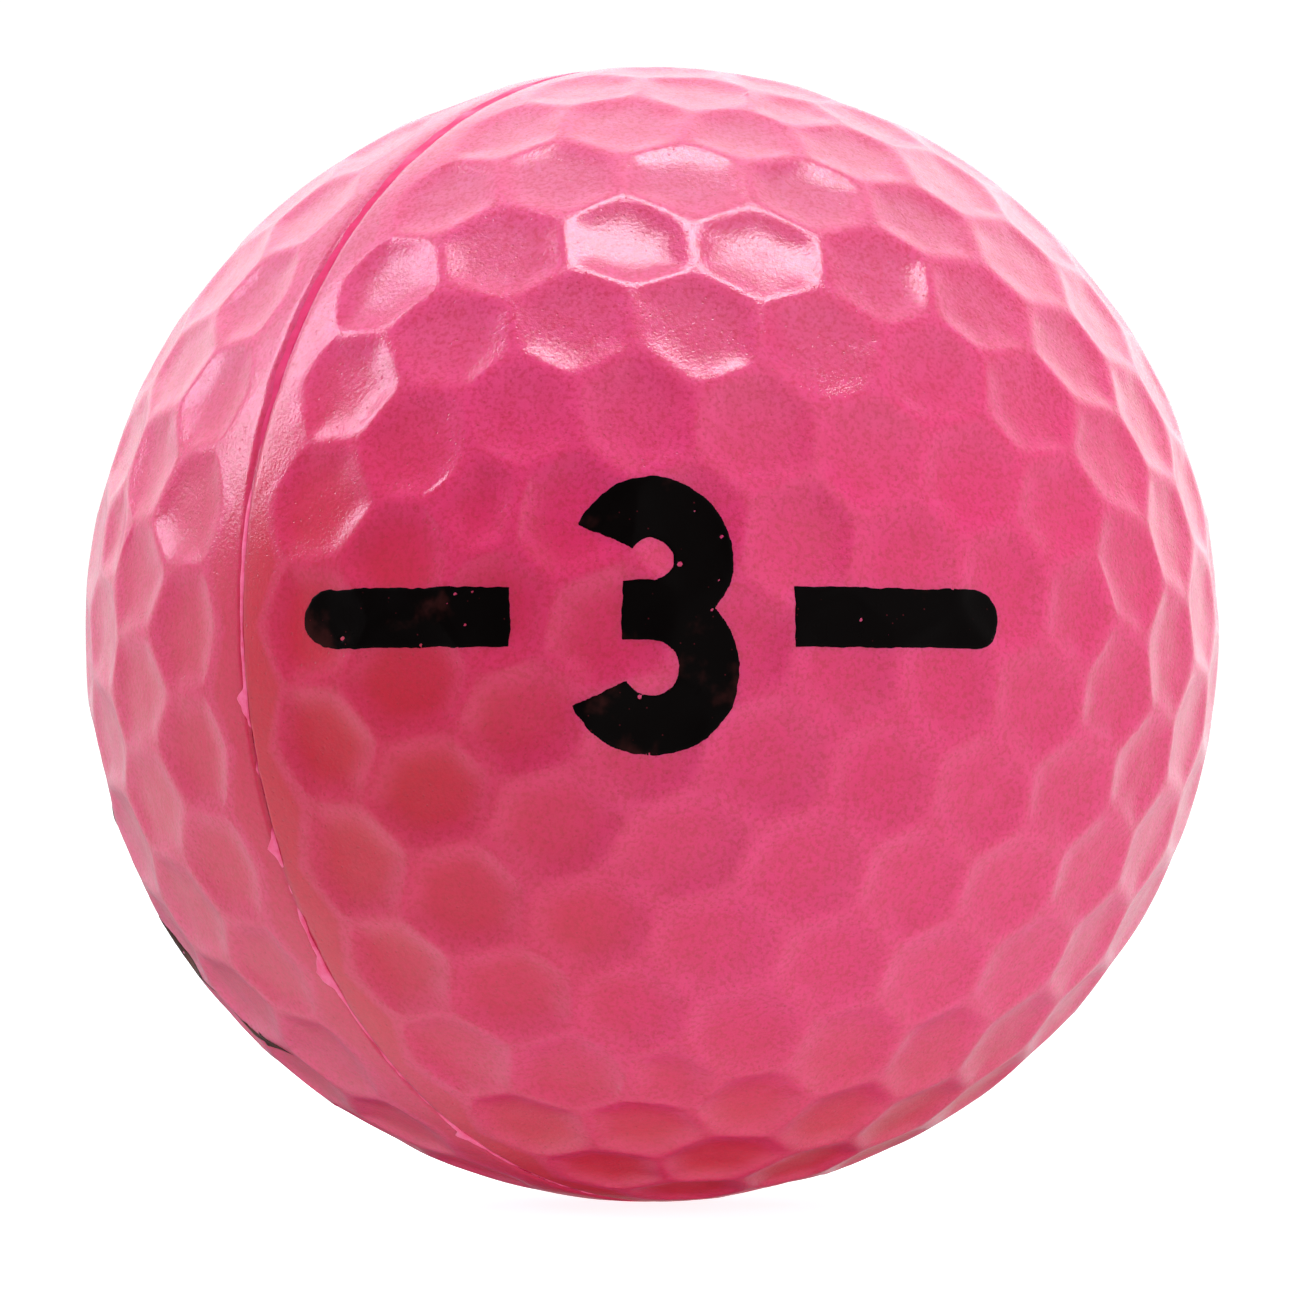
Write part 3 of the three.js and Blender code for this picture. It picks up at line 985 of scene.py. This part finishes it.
# The world's soft light: an even level, and lobes towards a direction that are full inside one
# angle and gone outside another. The last lobe is a dark one, and the sum stays over the floor.
WORLD_LEVEL = 0.40
WORLD_FLOOR = 0.02
WORLD_LOBES = (
    # towards, full within and gone beyond (degrees), added radiance
    ((0, 0.75, 0.66), 14, 60, 0.86),
    ((-0.85, 0.45, -0.3), 15, 60, 0.62),
    ((0.85, 0.45, -0.1), 15, 68, 0.58),
    ((0.45, 0.89, -0.1), 5, 30, 0.4),
    ((0, 1, 0.4), 10, 50, 0.25),
    ((0, -0.3, -0.95), 18, 82, 0.50),
    ((0.6, -0.7, -0.35), 15, 75, 0.44),
    ((0.62, -0.68, 0.33), 8, 40, 0.35),
    ((0.4, -0.62, 0.68), 8, 40, 0.35),
    ((0, 0.85, -0.5), 14, 50, -0.52),
)


def studio_world():
    """Soft light from all round: strong from above and behind, dim from the front and below."""
    world = bpy.data.worlds.new("studio_light")
    bpy.context.scene.world = world
    world.use_nodes = True
    tree = world.node_tree
    place = tree.nodes.new("ShaderNodeTexCoord").outputs["Generated"]
    level = None
    for towards, inner, outer, radiance in WORLD_LOBES:
        facing = tree.nodes.new("ShaderNodeVectorMath")
        facing.operation = "DOT_PRODUCT"
        tree.links.new(place, facing.inputs[0])
        facing.inputs[1].default_value = Vector(towards).normalized()
        lobe = tree.nodes.new("ShaderNodeMapRange")
        lobe.interpolation_type = "SMOOTHSTEP"
        tree.links.new(facing.outputs["Value"], lobe.inputs["Value"])
        lobe.inputs["From Min"].default_value = math.cos(outer * DEGREE)
        lobe.inputs["From Max"].default_value = math.cos(inner * DEGREE)
        lobe.inputs["To Max"].default_value = radiance
        total = tree.nodes.new("ShaderNodeMath")
        total.inputs[1].default_value = WORLD_LEVEL
        if level is not None:
            tree.links.new(level, total.inputs[1])
        tree.links.new(lobe.outputs["Result"], total.inputs[0])
        level = total.outputs["Value"]
    lit = tree.nodes.new("ShaderNodeMath")
    lit.operation = "MAXIMUM"
    tree.links.new(level, lit.inputs[0])
    lit.inputs[1].default_value = WORLD_FLOOR
    background = tree.nodes["Background"]
    background.inputs["Color"].default_value = (1, 1, 1, 1)
    tree.links.new(lit.outputs["Value"], background.inputs["Strength"])


def softbox(name, location, across, width, height, radiance, colour):
    """A rectangular area light that looks at the ball. Lengths are in metres, across is the way
    its width runs, and radiance is in W/m2/sr."""
    light = bpy.data.lights.new(name, "AREA")
    light.shape = "RECTANGLE"
    light.size, light.size_y = width, height
    light.energy = radiance * math.pi * width * height
    light.color = colour
    lamp = bpy.data.objects.new(name, light)
    bpy.context.scene.collection.objects.link(lamp)
    back = Vector(location).normalized()
    up = back.cross(Vector(across)).normalized()
    turn = Matrix((up.cross(back), up, back)).transposed()
    lamp.matrix_world = Matrix.Translation(location) @ turn.to_4x4()


def studio_lights():
    softbox("overhead_softbox", (0.05, -0.05, 0.6), (1, 0, 0), 0.36, 0.15, 13.5, (0.97, 0.99, 1.06))
    softbox("left_softbox", (-0.479, 0.089, 0.339), (0, 1, 0), 0.17, 0.38, 7.0, (0.95, 0.98, 1.15))


CAMERA_DISTANCE = 16
CAMERA_AIM = (-0.003, -0.028)
CAMERA_LENS = 251


def photo_camera():
    """Level with the ball's centre, as the photograph was taken. Lengths are in ball radii."""
    radius = BALL_RADIUS * MM
    camera = bpy.data.cameras.new("photo_camera")
    camera.sensor_width = 36
    camera.lens = CAMERA_LENS
    camera.clip_start, camera.clip_end = 0.01, 10
    shot = bpy.data.objects.new("photo_camera", camera)
    bpy.context.scene.collection.objects.link(shot)
    shot.location = (0, -CAMERA_DISTANCE * radius, 0)
    aim = Vector((CAMERA_AIM[0] * radius, 0, CAMERA_AIM[1] * radius)) - shot.location
    shot.rotation_mode = "QUATERNION"
    shot.rotation_quaternion = aim.to_track_quat("-Z", "Y")
    bpy.context.scene.camera = shot


# The front half takes the full painted shade, the rear half 0.65 of it.
front_skin = skin_material("pink_foam_skin_front", 1.0)
cover_half("skin_half_front", 1, front_skin, "cover_front")
rear_skin = skin_material("pink_foam_skin_rear", 0.65)
cover_half("skin_half_rear", -1, rear_skin, "cover_rear")
parting_flash(flash_material())
printed_line(
    "front",
    "bar",
    Print(
        Skin(1), (0, -1, 0.03), (1, 0, 0), number_height=10, stroke=2.2, bar_length=7.5,
        bar_width=2.2, bar_gap=1.9, arrow=False,
    ),
    ink_material("black_print_ink", (0.0018, 0.0010, 0.0010), (0.028, 0.006, 0.006)),
    300,
)  # fmt: skip
printed_line(
    "side",
    "arrow",
    Print(
        Skin(-1), (-0.92, 0.04, -0.39), (0.31, -0.53, -0.79), number_height=5.5, stroke=1.2,
        bar_length=8, bar_width=1.4, bar_gap=1.3, arrow=True,
    ),
    # Browner than the front print: partly thin ink, partly a painted grazing reflection on the
    # print near the ball's edge.
    ink_material("brown_sheen_print_ink", (0.045, 0.014, 0.010), (0.12, 0.032, 0.023)),
    400,
)  # fmt: skip
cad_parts["foam_core"].material_slots[0].material = foam_material()

floor_level = cad_bounds[0].z
studio_world()
studio_floor(floor_level)
studio_backdrop(floor_level)
studio_lights()
photo_camera()
bpy.context.scene.view_settings.view_transform = "Standard"
